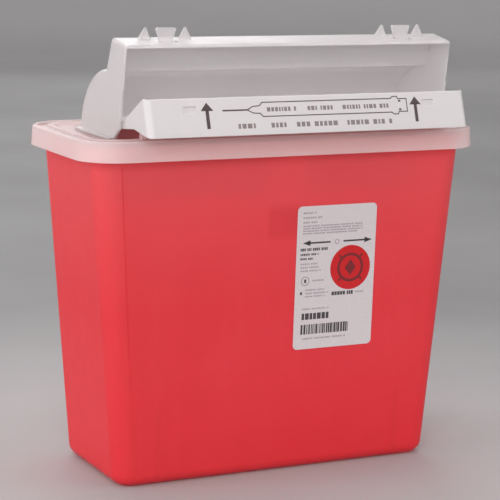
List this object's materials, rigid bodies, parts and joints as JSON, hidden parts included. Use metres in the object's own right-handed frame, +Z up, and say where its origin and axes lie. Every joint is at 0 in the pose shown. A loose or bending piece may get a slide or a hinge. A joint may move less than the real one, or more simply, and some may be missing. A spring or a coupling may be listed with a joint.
{
  "type": "sharps container",
  "caption": "Translucent red tapered bin with a frosted press-on lid, an open-fronted hood, a tilting drop tray and push-down lock tabs.",
  "frame": {"origin": "on the bin's resting face, under the centre of the lid's outline in plan", "axes": "+Z up, +X to the right along the lid's long side, +Y to the back; the mouth and the tray face -Y"},
  "size_m": [0.273, 0.1443, 0.2834],
  "materials": {
    "bin_red": "translucent red polypropylene, satin gloss",
    "lid_frost": "frosted natural polypropylene, see-through",
    "hood_frost": "frosted natural polypropylene, clearer than the deck",
    "tray_white": "milky white polypropylene, satin",
    "label_film": "white self-adhesive film"
  },
  "bodies": {
    "bin": {"bin": "bin_red", "label": "label_film"},
    "lid": {"lid_deck": "lid_frost", "hood": "hood_frost"},
    "tray": {"tray": "tray_white"},
    "lock_left": {"lock_tab_left": "hood_frost"},
    "lock_right": {"lock_tab_right": "hood_frost"}
  },
  "joints": [
    {"name": "lid_lift", "type": "slide", "parent": "bin", "child": "lid", "axis": [0, 0, 1], "range_m": [0, 0.08]},
    {"name": "tray_swing", "type": "hinge", "parent": "lid", "child": "tray", "pos_m": [0, -0.025, 0.212], "axis": [-1, 0, 0], "range_deg": [0, 48]},
    {"name": "lock_left_push", "type": "slide", "parent": "lid", "child": "lock_left", "axis": [0, 0, -1], "range_m": [0, 0.0054]},
    {"name": "lock_right_push", "type": "slide", "parent": "lid", "child": "lock_right", "axis": [0, 0, -1], "range_m": [0, 0.0054]}
  ]
}
